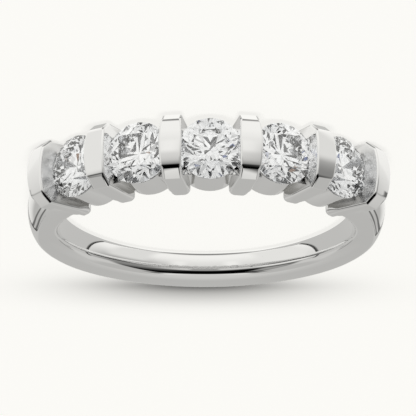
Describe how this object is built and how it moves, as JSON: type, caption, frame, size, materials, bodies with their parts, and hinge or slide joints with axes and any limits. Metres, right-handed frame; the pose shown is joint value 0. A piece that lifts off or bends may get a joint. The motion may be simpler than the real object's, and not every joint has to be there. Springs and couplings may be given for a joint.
{
  "type": "five-stone diamond band",
  "caption": "Polished white metal finger ring with a row of round brilliants held edge to edge between upright cross bars, on a plain tapering domed shank.",
  "frame": {"origin": "middle of the finger hole, halfway between the two side faces", "axes": "+Z along the finger axis, upwards as the ring lies on its side; the middle of the head points to -Y and the bottom of the shank to +Y; +X is the right-hand side seen from above with the head to the bottom"},
  "size_m": [0.021, 0.0233, 0.004],
  "materials": {
    "white_gold": "polished",
    "diamond": "polished, clear"
  },
  "bodies": {
    "root": {"band": "white_gold", "stone_1": "diamond", "stone_2": "diamond", "stone_3": "diamond", "stone_4": "diamond", "stone_5": "diamond"}
  },
  "joints": []
}
